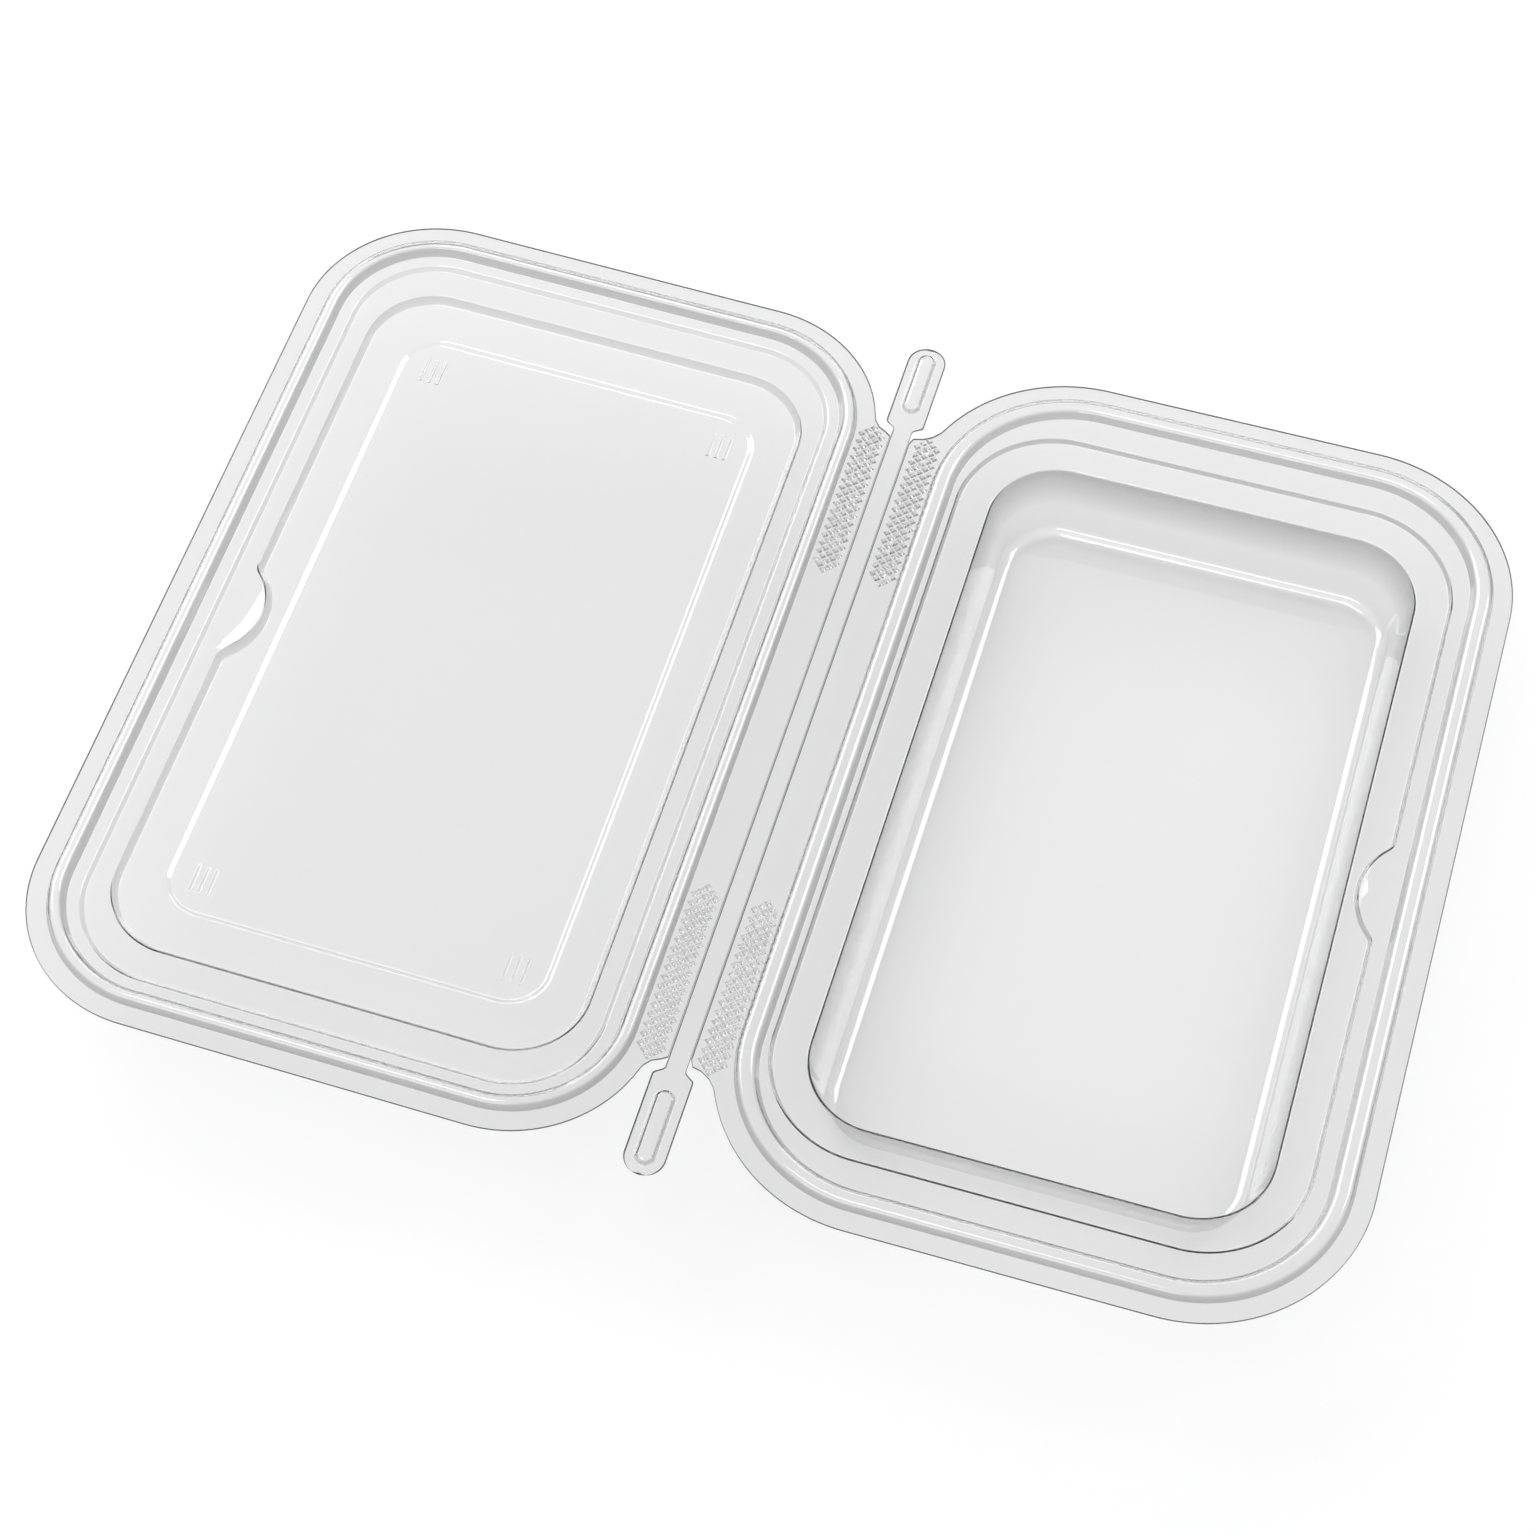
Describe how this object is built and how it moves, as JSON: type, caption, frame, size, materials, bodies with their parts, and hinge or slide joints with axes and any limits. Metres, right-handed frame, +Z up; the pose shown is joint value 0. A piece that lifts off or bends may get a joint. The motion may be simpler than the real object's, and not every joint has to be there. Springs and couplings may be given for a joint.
{
  "type": "hinged plastic clamshell pack",
  "caption": "Open clear clamshell pack: a deep tray with stepped rim and half-moon, a shallow lid, and a creased tear strip with pull tabs that folds to close it.",
  "frame": {"origin": "on the ground under the middle of the open pack", "axes": "+X across the pack from lid to tray, +Y along the tear strip, +Z up"},
  "size_m": [0.2711, 0.21, 0.0248],
  "materials": {
    "clear_sheet": "clear gloss formed sheet"
  },
  "bodies": {
    "base": {"base_tray": "clear_sheet"},
    "strip": {"tear_strip": "clear_sheet"},
    "cover": {"lid": "clear_sheet"}
  },
  "joints": [
    {"name": "strip_fold", "type": "hinge", "parent": "base", "child": "strip", "pos_m": [0.0022, 0, 0.01845], "axis": [0, 1, 0], "range_deg": [0, 90]},
    {"name": "lid_fold", "type": "hinge", "parent": "strip", "child": "cover", "pos_m": [-0.0022, 0, 0.01845], "axis": [0, 1, 0], "range_deg": [0, 88]}
  ]
}
